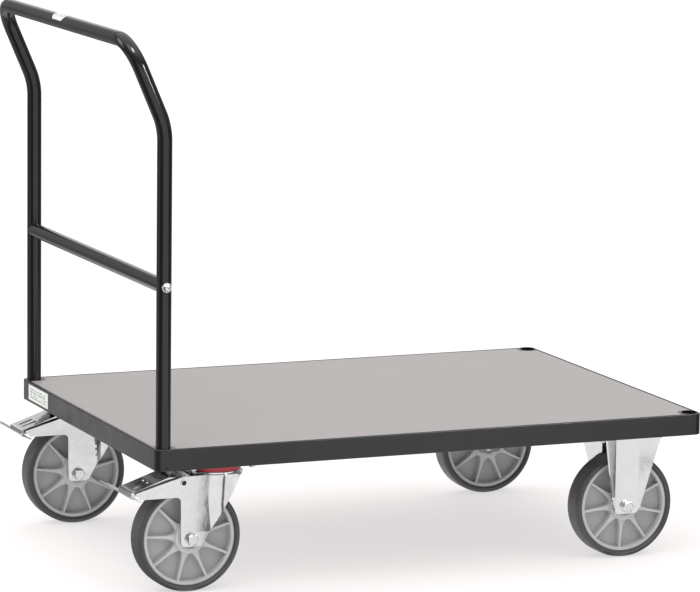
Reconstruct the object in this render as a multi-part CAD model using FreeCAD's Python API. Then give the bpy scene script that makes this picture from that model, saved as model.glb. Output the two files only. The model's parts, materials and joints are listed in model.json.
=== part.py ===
import FreeCAD, Part
import math
import os

# Platform trolley with a plug-in push bow, two braked swivel castors and two fixed castors.
# Millimetres. +Z is up and z = 0 is the floor. +X points forward, away from the push bow.
# +Y is the left side for someone pushing. The origin is on the floor, below the middle
# of the whole trolley's length and width.

# --- Platform -----------------------------------------------------------------------
platform_length = 1000.0
platform_width = 700.0
frame_height = 37.0
frame_wall = 4.0
frame_underside = 215.5
frame_edge_radius = 2.0
ledge_width = 20.0
corner_size = 35.0
corner_radius = 14.0
corner_inner_radius = 15.0
board_thickness = 15.0
board_inset = 0.3
board_gap = 1.5
board_edge_radius = 0.8

# --- Bearers and castor plates --------------------------------------------------------
bearer_wall = 4.0
castor_bearer_half = 75.0
centre_bearer_half = 25.0
bearer_lip = 14.0
castor_spread = 375.0
castor_track = 286.0
plate_length = 140.0
plate_width = 110.0
plate_thickness = 5.0
plate_corner = 12.0
bolt_spacing_x = 105.0
bolt_spacing_y = 80.0
plate_bolt_radius = 4.0
plate_hole_radius = 4.5
plate_nut_flats = 13.0
plate_nut_height = 5.0
plate_head_height = 5.3

# --- Wheels -----------------------------------------------------------------------------
tyre_radius = 91.0
tyre_width = 45.0
rim_radius = 80.3
rim_width = 36.0
rim_ring = 6.2
rib_count = 9
rib_depth = 12.0
web_half = 4.0
hub_radius = 26.0
hub_length = 46.0
bearing_radius = 17.0
bearing_width = 11.0
bush_radius = 10.0
axle_radius = 6.0
running_gap = 0.05
wheel_phase = {"swivel_right": 15.6, "swivel_left": 12.5, "fixed_right": 25.9, "fixed_left": 14.2}

# --- Castor forks -------------------------------------------------------------------------
trail = 50.0
fork_wall = 3.5
fork_half = 29.0
fork_lean = 0.103
lean_start = 103.0
crown_radius = 47.7
crown_top = 200.0
crown_plate = 4.0
crown_rim = 3.5
crown_taper = 0.155
race_radius = 27.0
ball_radius = 3.0
housing_radius = 39.0
seal_radius = 44.3
cup_outer_radius = 43.2
cup_height = 3.9
king_radius = 8.0

# --- Brake pedal ----------------------------------------------------------------------------
pivot_x = -17.6
pivot_z = 189.2
pivot_radius = 5.0
pedal_half = 31.0
pedal_slope = 0.349
pedal_tip_x = -104.0
pedal_root_x = -42.0
pedal_plate = 3.0
shoe_clearance = 6.0
foot_bar_half = 81.0

# --- Push bow ---------------------------------------------------------------------------------
tube_radius = 12.5
tube_wall = 2.0
socket_inset = 17.5
socket_clearance = 0.3
socket_floor = 3.0
clamp_screw_radius = 2.5
clamp_screw_rise = 5.5
knee_height = 783.0
knee_radius = 115.0
bow_top = 923.5
bow_rake = 61.0
bow_corner_radius = 49.0
crossbar_height = 520.5
crossbar_radius = 12.5
crossbar_wall = 1.5

axle_height = tyre_radius
frame_top = frame_underside + frame_height
board_top = frame_top - board_inset
board_bottom = board_top - board_thickness
plate_top = board_bottom - 16.7
plate_bottom = plate_top - plate_thickness
half_width = platform_width / 2.0
socket_bore = tube_radius + socket_clearance
bow_y = half_width - socket_inset

# The bow's top bar is the rearmost point and the frame's front face the foremost one.
rear_reach = platform_length / 2.0 - socket_inset + bow_rake + tube_radius
platform_x = (rear_reach - platform_length / 2.0) / 2.0
rear_face = platform_x - platform_length / 2.0
front_face = platform_x + platform_length / 2.0
bow_x = rear_face + socket_inset
swivel_x = platform_x - castor_spread
fixed_x = platform_x + castor_spread

X_AXIS = FreeCAD.Vector(1, 0, 0)
Y_AXIS = FreeCAD.Vector(0, 1, 0)
Z_AXIS = FreeCAD.Vector(0, 0, 1)
ORIGIN = FreeCAD.Vector(0, 0, 0)


def vec(x, y, z):
    return FreeCAD.Vector(x, y, z)


def box(x0, x1, y0, y1, z0, z1):
    return Part.makeBox(x1 - x0, y1 - y0, z1 - z0, vec(x0, y0, z0))


def upright_cylinder(x, y, z0, z1, radius):
    return Part.makeCylinder(radius, z1 - z0, vec(x, y, z0), Z_AXIS)


def cross_cylinder(x, z, y0, y1, radius):
    return Part.makeCylinder(radius, y1 - y0, vec(x, y0, z), Y_AXIS)


def moved(shape, x, y, z):
    copy = shape.copy()
    copy.translate(vec(x, y, z))
    return copy


def mirrored(shape, normal):
    return shape.mirror(ORIGIN, normal)


def fused(shapes):
    return shapes[0].multiFuse(shapes[1:]).removeSplitter()


def rounded_face(corners, radii, place):
    """Face of a polygon whose corner i is rounded by radii[i]. place(a, b) gives the 3-D point."""
    count = len(corners)
    starts = []
    arcs = []
    for i in range(count):
        corner = vec(corners[i][0], corners[i][1], 0)
        before = vec(corners[i - 1][0], corners[i - 1][1], 0)
        after = vec(corners[(i + 1) % count][0], corners[(i + 1) % count][1], 0)
        if radii[i] == 0:
            starts.append((corner, corner))
            arcs.append(None)
            continue
        to_before = (before - corner).normalize()
        to_after = (after - corner).normalize()
        half = to_before.getAngle(to_after) / 2.0
        setback = radii[i] / math.tan(half)
        middle = (to_before + to_after).normalize()
        centre = corner + middle * (radii[i] / math.sin(half))
        starts.append((corner + to_before * setback, corner + to_after * setback))
        arcs.append(centre - middle * radii[i])
    edges = []
    for i in range(count):
        here_in, here_out = starts[i]
        next_in = starts[(i + 1) % count][0]
        if arcs[i] is not None:
            ends = [place(p.x, p.y) for p in (here_in, arcs[i], here_out)]
            edges.append(Part.Arc(ends[0], ends[1], ends[2]).toShape())
        if (next_in - here_out).Length > 1e-6:
            edges.append(Part.makeLine(place(here_out.x, here_out.y), place(next_in.x, next_in.y)))
    return Part.Face(Part.Wire(edges))


def side_prism(corners, radii, y0, y1):
    """Outline in the X-Z plane, extruded from y0 to y1."""
    face = rounded_face(corners, radii, lambda a, b: vec(a, y0, b))
    return face.extrude(vec(0, y1 - y0, 0))


def plan_prism(corners, radii, z0, z1):
    """Outline in the X-Y plane, extruded from z0 to z1."""
    face = rounded_face(corners, radii, lambda a, b: vec(a, b, z0))
    return face.extrude(vec(0, 0, z1 - z0))


def end_prism(corners, x0, x1):
    """Outline in the Y-Z plane, extruded from x0 to x1."""
    face = rounded_face(corners, [0] * len(corners), lambda a, b: vec(x0, a, b))
    return face.extrude(vec(x1 - x0, 0, 0))


def rectangle(x0, x1, y0, y1):
    return [(x0, y0), (x1, y0), (x1, y1), (x0, y1)]


def hexagon_prism(flats, height):
    """Hexagonal prism standing on z = 0 round the Z axis."""
    reach = flats / math.sqrt(3.0)
    corners = [(reach * math.cos(math.radians(60 * k)), reach * math.sin(math.radians(60 * k)))
               for k in range(6)]
    prism = plan_prism(corners, [0] * 6, 0, height)
    chamfer = Part.makeCone(flats / 2.0 + height * 0.9, flats / 2.0 - height * 0.1, height)
    return prism.common(chamfer)


def turned(points, start, axis):
    """Solid of revolution of a closed polygon of 3-D points."""
    wire = Part.makePolygon(points + [points[0]])
    return Part.Face(wire).revolve(start, axis, 360)


def turned_about_y(profile):
    """Solid turned about the Y axis. profile lists (radius, y) pairs."""
    return turned([vec(r, y, 0) for r, y in profile], ORIGIN, Y_AXIS)


def turned_about_z(profile):
    """Solid turned about the Z axis. profile lists (radius, z) pairs."""
    return turned([vec(r, 0, z) for r, z in profile], ORIGIN, Z_AXIS)


def export(name, shape):
    """Write one node. A list of solids is written as one group."""
    if isinstance(shape, list):
        shape = Part.makeCompound(shape)
    shape.exportStep("parts/" + name + ".step")


# --- Frame and deck ---------------------------------------------------------------------------

def rounded_wall(wall, at_outside):
    """Rail wall whose long outer edges are rounded. at_outside tells whether a point is on the outer face."""
    longest = max(e.Length for e in wall.Edges)
    edges = [e for e in wall.Edges if e.Length > longest - 0.1 and at_outside(e.Vertexes[0].Point)]
    return wall.makeFillet(frame_edge_radius, edges)


def side_rail():
    """Right-hand long rail: upright wall with a ledge that carries the board."""
    reach = platform_length / 2.0 - corner_size
    ledge_top = board_bottom
    wall = box(-reach, reach, -half_width, -half_width + frame_wall, frame_underside, frame_top)
    wall = rounded_wall(wall, lambda p: p.y < -half_width + 0.01)
    ledge = box(-reach, reach, -half_width + frame_wall, -half_width + frame_wall + ledge_width,
                ledge_top - frame_wall, ledge_top)
    return moved(fused([wall, ledge]), platform_x, 0, 0)


def end_rail():
    """Rear short rail, between the corner sockets."""
    reach = half_width - corner_size
    back = -platform_length / 2.0
    wall = box(back, back + frame_wall, -reach, reach, frame_underside, frame_top)
    wall = rounded_wall(wall, lambda p: p.x < back + 0.01)
    ledge = box(back + frame_wall, back + frame_wall + ledge_width, -reach, reach,
                board_bottom - frame_wall, board_bottom)
    return fused([wall, ledge])


def on_socket_outline(edge):
    """True for the top and bottom edges of the rear right corner block's two outer faces and their arc."""
    heights = [v.Z for v in edge.Vertexes]
    middle = edge.valueAt((edge.FirstParameter + edge.LastParameter) / 2.0)
    level = max(heights) - min(heights) < 0.01
    from_rear = middle.x - rear_face
    from_side = middle.y + half_width
    outer = corner_radius * 0.6
    end = corner_size - 1
    return level and (from_rear < outer and from_side < end or from_side < outer and from_rear < end)


def corner_socket():
    """Rear right corner block, bored for the bow's tube, with a floor and a drain hole."""
    corners = rectangle(rear_face, rear_face + corner_size, -half_width, -half_width + corner_size)
    radii = [corner_radius, 0, corner_inner_radius, 0]
    block = plan_prism(corners, radii, frame_underside, frame_top)
    outer_edges = [e for e in block.Edges if on_socket_outline(e)]
    block = block.makeFillet(frame_edge_radius, outer_edges)
    bore = upright_cylinder(bow_x, -bow_y, frame_underside + socket_floor, frame_top, socket_bore)
    drain = upright_cylinder(bow_x, -bow_y, frame_underside, frame_top, 4.0)
    return block.cut(bore).cut(drain)


def socket_plug():
    """Push-in cap for an unused socket: domed head on a hollow stem."""
    head_radius = socket_bore + 0.8
    profile = [(0, frame_top), (head_radius, frame_top), (head_radius, frame_top + 0.5),
               (head_radius - 0.8, frame_top + 1.0), (0, frame_top + 1.3)]
    stem_radius = socket_bore - running_gap
    stem = upright_cylinder(0, 0, frame_top - 12, frame_top, stem_radius)
    hollow = upright_cylinder(0, 0, frame_top - 12, frame_top - 1, stem_radius - 2)
    return fused([turned_about_z(profile), stem.cut(hollow)])


def deck_board():
    """Coated board with a notch round each corner socket."""
    margin = frame_wall + board_gap
    half_x = platform_length / 2.0 - margin
    half_y = half_width - margin
    board = box(-half_x, half_x, -half_y, half_y, board_bottom, board_top)
    top_edges = [e for e in board.Edges if min(v.Z for v in e.Vertexes) > board_top - 0.01]
    board = board.makeFillet(board_edge_radius, top_edges)
    notch = corner_size + board_gap
    for sign_x in (-1, 1):
        for sign_y in (-1, 1):
            corner_x = sign_x * platform_length / 2.0
            corner_y = sign_y * half_width
            inner_x = corner_x - sign_x * notch
            inner_y = corner_y - sign_y * notch
            outline = rectangle(min(corner_x, inner_x), max(corner_x, inner_x),
                                min(corner_y, inner_y), max(corner_y, inner_y))
            radii = [0, 0, 0, 0]
            radii[outline.index((inner_x, inner_y))] = corner_inner_radius + board_gap
            board = board.cut(plan_prism(outline, radii, board_bottom - 1, board_top + 1))
    return moved(board, platform_x, 0, 0)


def bearer(half, centre_x, hole_positions):
    """Cross bearer: channel with its web down and lips under the board, cut round the ledges."""
    reach = half_width - frame_wall
    ledge_inner = reach - ledge_width
    web = box(-half, half, -reach, reach, plate_top, plate_top + bearer_wall)
    pieces = [web]
    for sign in (-1, 1):
        side = sorted((sign * half, sign * (half - bearer_wall)))
        pieces.append(box(side[0], side[1], -reach, reach, plate_top, board_bottom))
        lip = sorted((sign * half, sign * (half + bearer_lip)))
        pieces.append(box(lip[0], lip[1], -ledge_inner, ledge_inner,
                          board_bottom - bearer_wall, board_bottom))
    channel = fused(pieces)
    for sign in (-1, 1):
        span = sorted((sign * ledge_inner, sign * (reach + 1)))
        channel = channel.cut(box(-half - 1, half + 1, span[0], span[1],
                                  board_bottom - frame_wall, board_bottom + 1))
    for x, y in hole_positions:
        channel = channel.cut(upright_cylinder(x, y, plate_top - 1, plate_top + bearer_wall + 1,
                                               plate_hole_radius))
    for y in board_screw_rows():
        for sign in (-1, 1):
            lip_middle = sign * (half + bearer_lip / 2.0)
            channel = channel.cut(upright_cylinder(lip_middle, y, board_bottom - 5, board_bottom + 1, 2.6))
    return moved(channel, centre_x, 0, 0)


def board_screw_rows():
    return (-240.0, -80.0, 80.0, 240.0)


def plate_bolt_positions():
    """Bolt centres of one castor plate, from the plate's centre."""
    return [(sx * bolt_spacing_x / 2.0, sy * bolt_spacing_y / 2.0) for sx in (-1, 1) for sy in (-1, 1)]


def bearer_bolt_holes():
    return [(x, y + side * castor_track) for side in (-1, 1) for x, y in plate_bolt_positions()]


def board_screws():
    """Pan-head screws through the bearers' lips into the board from below."""
    head = upright_cylinder(0, 0, board_bottom - bearer_wall - 3.0, board_bottom - bearer_wall, 4.5)
    shank = upright_cylinder(0, 0, board_bottom - bearer_wall, board_bottom + 9.0, 2.4)
    screw = fused([head, shank])
    solids = []
    for half, centre_x in bearer_places():
        for y in board_screw_rows():
            for sign in (-1, 1):
                x = centre_x + sign * (half + bearer_lip / 2.0)
                solids.append(moved(screw, x, y, 0))
    return solids


def bearer_places():
    return ((castor_bearer_half, swivel_x), (centre_bearer_half, platform_x),
            (castor_bearer_half, fixed_x))


def board_with_screw_holes():
    board = deck_board()
    for screw in board_screws():
        centre = screw.BoundBox.Center
        board = board.cut(upright_cylinder(centre.x, centre.y, board_bottom - 1, board_bottom + 10, 2.4))
    return board


def clamp_screw():
    """Grub screw in the right socket's outer wall that holds the bow's tube."""
    wall_outer = -half_width
    height = frame_underside + clamp_screw_rise
    body = cross_cylinder(bow_x, height, wall_outer + 0.3, -bow_y - socket_bore + 0.1,
                          clamp_screw_radius)
    recess = cross_cylinder(bow_x, height, wall_outer, wall_outer + 2.5, 1.3)
    return body.cut(recess)


def socket_with_clamp_hole():
    height = frame_underside + clamp_screw_rise
    hole = cross_cylinder(bow_x, height, -half_width - 1, -bow_y - socket_bore + 1,
                          clamp_screw_radius + running_gap)
    return corner_socket().cut(hole)


def rating_label():
    """Thin self-adhesive plate on the rear rail, near the left corner."""
    length = 105.0
    height = 27.0
    middle_y = 257.0
    middle_z = frame_underside + 19.2
    return box(rear_face - 0.4, rear_face, middle_y - length / 2.0, middle_y + length / 2.0,
               middle_z - height / 2.0, middle_z + height / 2.0)


# --- Castor plates and their fasteners -------------------------------------------------------------

def plate_blank():
    """Castor plate with its four bolt holes, centred on the Z axis."""
    corners = rectangle(-plate_length / 2.0, plate_length / 2.0, -plate_width / 2.0, plate_width / 2.0)
    plate = plan_prism(corners, [plate_corner] * 4, plate_bottom, plate_top)
    for x, y in plate_bolt_positions():
        plate = plate.cut(upright_cylinder(x, y, plate_bottom - 1, plate_top + 1, plate_hole_radius))
    return plate


def plate_bolts():
    """One castor's four bolts, heads up inside the bearer."""
    web_top = plate_top + bearer_wall
    head = moved(hexagon_prism(plate_nut_flats, plate_head_height), 0, 0, web_top)
    shank = upright_cylinder(0, 0, plate_bottom - plate_nut_height - 2.0, web_top, plate_bolt_radius)
    bolt = fused([head, shank])
    return [moved(bolt, x, y, 0) for x, y in plate_bolt_positions()]


def plate_nuts():
    """One castor's four nuts, under the plate."""
    nut = moved(hexagon_prism(plate_nut_flats, plate_nut_height), 0, 0, plate_bottom - plate_nut_height)
    flipped = nut.cut(upright_cylinder(0, 0, plate_bottom - plate_nut_height - 1, plate_bottom + 1,
                                       plate_bolt_radius + running_gap))
    return [moved(flipped, x, y, 0) for x, y in plate_bolt_positions()]


def at_all_castors(solids):
    return [moved(s, x, side * castor_track, 0)
            for x in (swivel_x, fixed_x) for side in (-1, 1) for s in solids]


def swivel_plate():
    """Swivel castor's plate with its upper race housing and ball groove, round the swivel axis."""
    race_bottom = crown_top + 5.6
    bore = king_radius + running_gap
    housing = turned_about_z([(bore, race_bottom), (housing_radius - 3.0, race_bottom),
                              (housing_radius, race_bottom + 3.0), (housing_radius, plate_bottom),
                              (bore, plate_bottom)])
    plate = fused([plate_blank(), housing])
    plate = plate.cut(upright_cylinder(0, 0, crown_top, plate_top + 1, bore))
    groove = Part.makeTorus(race_radius, ball_radius + 0.1, vec(0, 0, ball_plane()), Z_AXIS)
    countersink = Part.makeCone(king_radius, king_radius + 4.0, 4.0, vec(0, 0, plate_top - 4.0))
    return plate.cut(groove).cut(countersink)


def ball_plane():
    return crown_top + 3.8


def seal_ring():
    """Coloured dust seal between the plate and the fork's crown."""
    bottom = crown_top + 4.5
    top = plate_bottom - 1.0
    return turned_about_z([(housing_radius, bottom), (seal_radius, bottom), (seal_radius, top - 2.0),
                           (seal_radius - 2.0, top), (housing_radius, top)])


def king_pin():
    """Riveted king pin: closing head in the plate's countersink, setting head under the crown."""
    gap = 0.3
    under_crown = crown_top - crown_plate - gap
    profile = [(0, under_crown - 5.0), (15.0, under_crown - 5.0), (15.0, under_crown),
               (king_radius, under_crown), (king_radius, plate_top - 4.0),
               (king_radius + 3.9, plate_top - 0.1), (0, plate_top - 0.1)]
    return turned_about_z(profile)


# --- Wheels ----------------------------------------------------------------------------------------

def tyre():
    """Solid tyre with rounded shoulders, round the Y axis."""
    half = tyre_width / 2.0
    seat = rim_width / 2.0
    flat = half - 7.0
    shoulder = tyre_radius - 6.5
    bulge = (rim_radius + shoulder) / 2.0
    tread = vec(tyre_radius, -flat, 0)
    blend = vec(tyre_radius - 1.9, -half + 2.2, 0)
    wall_top = vec(shoulder, -half, 0)
    edges = [Part.makeLine(vec(rim_radius, seat, 0), vec(rim_radius, -seat, 0)),
             Part.Arc(vec(rim_radius, -seat, 0), vec(bulge - 1.5, -half + 0.5, 0), wall_top).toShape(),
             Part.Arc(wall_top, blend, tread).toShape(),
             Part.Arc(tread, vec(tyre_radius + 0.35, 0, 0), vec(tyre_radius, flat, 0)).toShape(),
             Part.Arc(vec(tyre_radius, flat, 0), vec(blend.x, -blend.y, 0), vec(shoulder, half, 0)).toShape(),
             Part.Arc(vec(shoulder, half, 0), vec(bulge - 1.5, half - 0.5, 0),
                      vec(rim_radius, seat, 0)).toShape()]
    crowned = Part.Face(Part.Wire(edges)).revolve(ORIGIN, Y_AXIS, 360)
    return crowned.common(cross_cylinder(0, 0, -half - 1, half + 1, tyre_radius))


def rib():
    """One spoke on the wheel's right face, pointing along +X: narrow at the rim, flared at the hub."""
    outer = rim_radius - rim_ring + 1.0
    inner = hub_radius - 2.0
    waist = hub_radius + 17.0
    corners = [(inner, -9.5), (inner + 7.0, -6.0), (waist, -2.6), (outer, -1.6),
               (outer, 1.6), (waist, 2.6), (inner + 7.0, 6.0), (inner, 9.5)]
    radii = [0, 9.0, 30.0, 0, 0, 30.0, 9.0, 0]
    return side_prism(corners, radii, -web_half - rib_depth, -web_half + 0.5)


def rim(phase):
    """Wheel centre: rim ring, web, hub and ribs on both faces, with bores for the bearings."""
    half = rim_width / 2.0
    inner = rim_radius - rim_ring
    hub_half = hub_length / 2.0
    profile = [(bearing_radius - 2.0, -hub_half), (hub_radius - 1.5, -hub_half), (hub_radius, -hub_half + 1.5),
               (hub_radius + 2.5, -web_half), (inner - 2.5, -web_half), (inner, -half + 0.8),
               (inner + 0.8, -half), (rim_radius, -half), (rim_radius, half), (inner + 0.8, half),
               (inner, half - 0.8), (inner - 2.5, web_half), (hub_radius + 2.5, web_half),
               (hub_radius, hub_half - 1.5), (hub_radius - 1.5, hub_half), (bearing_radius - 2.0, hub_half)]
    body = turned_about_y(profile)
    spokes = []
    for k in range(rib_count):
        spoke = rib()
        spoke.rotate(ORIGIN, Y_AXIS, -360.0 / rib_count * k)
        spokes.append(spoke)
        spokes.append(mirrored(spoke, Y_AXIS))
    body = fused([body] + spokes)
    for sign in (-1, 1):
        span = sorted((sign * (hub_half - 1.0 - bearing_width), sign * (hub_half + 1.0)))
        body = body.cut(cross_cylinder(0, 0, span[0], span[1], bearing_radius))
    body.rotate(ORIGIN, Y_AXIS, -phase)
    return body


def bearings():
    """Sealed ball bearings at both ends of the hub."""
    solids = []
    inner = bush_radius + running_gap
    for sign in (-1, 1):
        outer_face = sign * (hub_length / 2.0 - 1.0)
        inner_face = sign * (hub_length / 2.0 - 1.0 - bearing_width)
        y0, y1 = sorted((outer_face, inner_face))
        solids.append(turned_about_y([(inner, y0), (inner + 2.4, y0), (inner + 2.4, y0 + 0.6),
                                      (bearing_radius - 2.2, y0 + 0.6), (bearing_radius - 2.2, y0),
                                      (bearing_radius, y0), (bearing_radius, y1), (bearing_radius - 2.2, y1),
                                      (bearing_radius - 2.2, y1 - 0.6), (inner + 2.4, y1 - 0.6),
                                      (inner + 2.4, y1), (inner, y1)]))
    return solids


def axle_bush():
    """Spacer tube between the fork legs that carries the bearings."""
    reach = fork_half - fork_wall - 0.1
    tube = cross_cylinder(0, 0, -reach, reach, bush_radius)
    return tube.cut(cross_cylinder(0, 0, -reach - 1, reach + 1, axle_radius + running_gap))


def axle_bolt():
    """Flanged hexagon bolt, head on the right."""
    head = hexagon_prism(18.0, 7.5)
    head.rotate(ORIGIN, X_AXIS, 90)
    head.translate(vec(0, -fork_half - 1.5, 0))
    flange = cross_cylinder(0, 0, -fork_half - 1.6, -fork_half, 10.8)
    shank = cross_cylinder(0, 0, -fork_half, fork_half + 12.5, axle_radius)
    return fused([head, flange, shank])


def axle_nut():
    """Locking nut on the left end of the axle bolt."""
    nut = hexagon_prism(18.0, 10.5)
    nut.rotate(ORIGIN, X_AXIS, -90)
    nut.translate(vec(0, fork_half, 0))
    return nut.cut(cross_cylinder(0, 0, 0, fork_half + 30, axle_radius + running_gap))


# --- Swivel castor ------------------------------------------------------------------------------------
# Built with the axle over the origin: x from the axle, y from the wheel's middle plane, z from the floor.

def fork_half_width(z):
    return fork_half + max(0.0, z - lean_start) * fork_lean


def fork_body(inset, top):
    """Solid inside the fork's skin: leaning flat sides joined to a cone under the crown."""
    low = 60.0
    outline = [(-(fork_half_width(low) - inset), low), (fork_half_width(low) - inset, low),
               (fork_half_width(lean_start) - inset, lean_start), (fork_half_width(top) - inset, top),
               (-(fork_half_width(top) - inset), top), (-(fork_half_width(lean_start) - inset), lean_start)]
    sides = end_prism(outline, -130.0, trail)
    cone_top = crown_top - crown_rim
    foot_radius = crown_radius - (cone_top - low) * crown_taper - inset
    cone = Part.makeCone(foot_radius, crown_radius - inset, cone_top - low, vec(trail, 0, low), Z_AXIS)
    body = sides.fuse(cone)
    if top > cone_top:
        body = body.fuse(upright_cylinder(trail, 0, cone_top, top, crown_radius - inset))
    return body


def arm_top(x):
    """Height of the arms' sloping top edge."""
    return 193.3 + 0.291 * (x + 41.4)


def fork_outline():
    """Side view of the swivel fork: leg, rear arm and raked front edge."""
    crown_front = trail + crown_radius + 0.5
    corners = [(-17.7, 78.6), (18.2, 78.6), (84.3, crown_top - crown_plate - 0.5),
               (crown_front, crown_top - crown_plate - 0.5), (crown_front, crown_top),
               (trail - crown_radius + 10, crown_top), (-13.0, 199.6), (-41.4, arm_top(-41.4)),
               (-102.0, arm_top(-102.0)), (-91.7, 164.5), (-21.4, 164.5)]
    radii = [8.0, 9.0, 0, 0, 0, 0, 0, 30.0, 2.0, 2.0, 8.5]
    return corners, radii


def swivel_fork():
    """Pressed swivel fork with crown, raking legs and rear arms for the brake pedal."""
    corners, radii = fork_outline()
    profile = side_prism(corners, radii, -70.0, 70.0)
    shell = profile.common(fork_body(0.0, crown_top))
    hollow = fork_body(fork_wall, crown_top - crown_plate)
    shell = shell.cut(hollow)
    behind_crown = box(-130.0, trail - crown_radius, -70, 70, 60, crown_top + 5)
    inner_sides = [(-(fork_half_width(lean_start) - fork_wall), lean_start),
                   (fork_half_width(lean_start) - fork_wall, lean_start),
                   (fork_half_width(crown_top + 5) - fork_wall, crown_top + 5),
                   (-(fork_half_width(crown_top + 5) - fork_wall), crown_top + 5)]
    shell = shell.cut(end_prism(inner_sides, -130.0, trail - crown_radius).common(behind_crown))
    bead = arm_bead()
    shell = fused([shell, bead, mirrored(bead, Y_AXIS), lower_race()])
    shell = shell.cut(upright_cylinder(trail, 0, crown_top - 8, crown_top + 8, king_radius + 0.3))
    shell = shell.cut(cross_cylinder(pivot_x, pivot_z, -70, 70, pivot_radius))
    shell = shell.cut(cross_cylinder(0, axle_height, -70, 70, axle_radius + running_gap))
    return shell


def arm_bead():
    """Rolled edge along the top of the right arm."""
    depth = 5.0
    corners = [(-43.0, arm_top(-43.0)), (-101.0, arm_top(-101.0)),
               (-99.6, arm_top(-99.6) - depth), (-41.6, arm_top(-41.6) - depth)]
    strip = side_prism(corners, [0, 0, 0, 0], -70.0, 0.0)
    outer = leaning_slab(1.2)
    inner = leaning_slab(-1.0)
    return strip.common(outer).cut(inner)


def leaning_slab(extra):
    """Solid between the fork's leaning sides, moved outwards by extra."""
    top = 230.0
    low_half = fork_half_width(lean_start) + extra
    top_half = fork_half_width(top) + extra
    outline = [(-low_half, lean_start), (low_half, lean_start), (top_half, top), (-top_half, top)]
    return end_prism(outline, -130.0, trail)


def lower_race():
    """Lower race on the crown: ball groove inside a raised cup that the seal sits over."""
    cup_inner = housing_radius + 0.8
    cup_top = crown_top + cup_height
    floor = crown_top + 2.0
    profile = [(king_radius + 4.0, crown_top), (cup_outer_radius, crown_top),
               (cup_outer_radius, cup_top - 0.8), (cup_outer_radius - 0.8, cup_top),
               (cup_inner, cup_top), (cup_inner, floor), (king_radius + 4.0, floor)]
    race = moved(turned_about_z(profile), trail, 0, 0)
    groove = Part.makeTorus(race_radius, ball_radius + 0.1, vec(trail, 0, ball_plane()), Z_AXIS)
    return race.cut(groove)


def pedal_pin():
    """Hollow rivet that the pedal turns on, with a narrow rolled rim at each end."""
    reach = fork_half_width(pivot_z)
    rivet = cross_cylinder(pivot_x, pivot_z, -reach - 1.0, reach + 1.0, pivot_radius - running_gap)
    rim_band = cross_cylinder(pivot_x, pivot_z, reach + 0.6, reach + 1.4, pivot_radius + 0.8)
    bore = cross_cylinder(pivot_x, pivot_z, -reach - 5, reach + 5, pivot_radius - 0.9)
    return fused([rivet, rim_band, mirrored(rim_band, Y_AXIS)]).cut(bore)


def pedal_spring():
    """Closely wound spring on the pedal pin."""
    wire = 1.2
    coils = 9
    inner = pivot_radius + 0.6
    start = -wire * coils
    points = [vec(inner, start, 0)]
    for k in range(coils):
        low = start + 2 * wire * k
        points.append(vec(inner + 1.4, low, 0))
        points.append(vec(inner + 2.4, low + 0.5 * wire, 0))
        points.append(vec(inner + 2.4, low + 1.5 * wire, 0))
    points.append(vec(inner + 1.4, start + 2 * wire * coils, 0))
    points.append(vec(inner, start + 2 * wire * coils, 0))
    coil = turned(points, ORIGIN, Y_AXIS)
    return moved(coil, pivot_x, 0, pivot_z)


def pedal_height(x):
    """Height of the pedal plate's top surface."""
    return 196.5 + pedal_slope * (x + 47.0)


def brake_pedal():
    """Pressed pedal: slotted plate between two cheeks, with a lip and a wide foot bar."""
    tip_top = pedal_height(pedal_tip_x)
    root_top = pedal_height(pedal_root_x)
    plate = side_prism([(pedal_root_x, root_top), (pedal_tip_x, tip_top), (pedal_tip_x, tip_top - pedal_plate),
                        (pedal_root_x, root_top - pedal_plate)], [0, 0, 0, 0], -pedal_half, pedal_half)
    cheek = side_prism([(pedal_root_x, root_top), (pedal_tip_x, tip_top), (pedal_tip_x, tip_top - 8.0),
                        (-70.0, pedal_height(-70.0) - 13.0), (pivot_x + 8.2, pivot_z - 8.0),
                        (pivot_x + 8.2, pivot_z + 8.0)],
                       [0, 0, 2.0, 20.0, 7.9, 7.9], -pedal_half, -pedal_half + 2.5)
    lip = box(pedal_tip_x - 3.0, pedal_tip_x, -pedal_half, pedal_half, tip_top - 10.0, tip_top)
    bar_root = (pedal_tip_x - 1.0, tip_top - 8.0)
    bar_tip = (bar_root[0] - 18.0, bar_root[1] + 7.6)
    bar = side_prism([bar_root, bar_tip, (bar_tip[0], bar_tip[1] + 2.5), (bar_root[0], bar_root[1] + 2.5)],
                     [0, 0, 0, 0], -foot_bar_half, foot_bar_half)
    pedal = fused([plate, cheek, mirrored(cheek, Y_AXIS), lip, bar])
    for middle in (-10.0, 10.0):
        outline = rectangle(-98.0, -70.0, middle - 3.5, middle + 3.5)
        pedal = pedal.cut(plan_prism(outline, [3.4] * 4, pedal_height(-98.0) - 6.0, root_top))
    pedal = pedal.cut(cross_cylinder(pivot_x, pivot_z, -pedal_half - 1, pedal_half + 1,
                                     pivot_radius + running_gap))
    return pedal


def brake_shoe():
    """Shoe under the pedal: its foot follows the tyre, with room to spare when released."""
    shoe_half = 16.0
    left = -60.0
    right = -44.0
    block = side_prism([(left, pedal_height(left) - pedal_plate), (left, axle_height + 60),
                        (right, axle_height + 60), (right, pedal_height(right) - pedal_plate)],
                       [0, 0, 0, 0], -shoe_half, shoe_half)
    clear = cross_cylinder(0, axle_height, -shoe_half - 1, shoe_half + 1, tyre_radius + shoe_clearance)
    return block.cut(clear)


# --- Fixed castor ---------------------------------------------------------------------------------------

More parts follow.
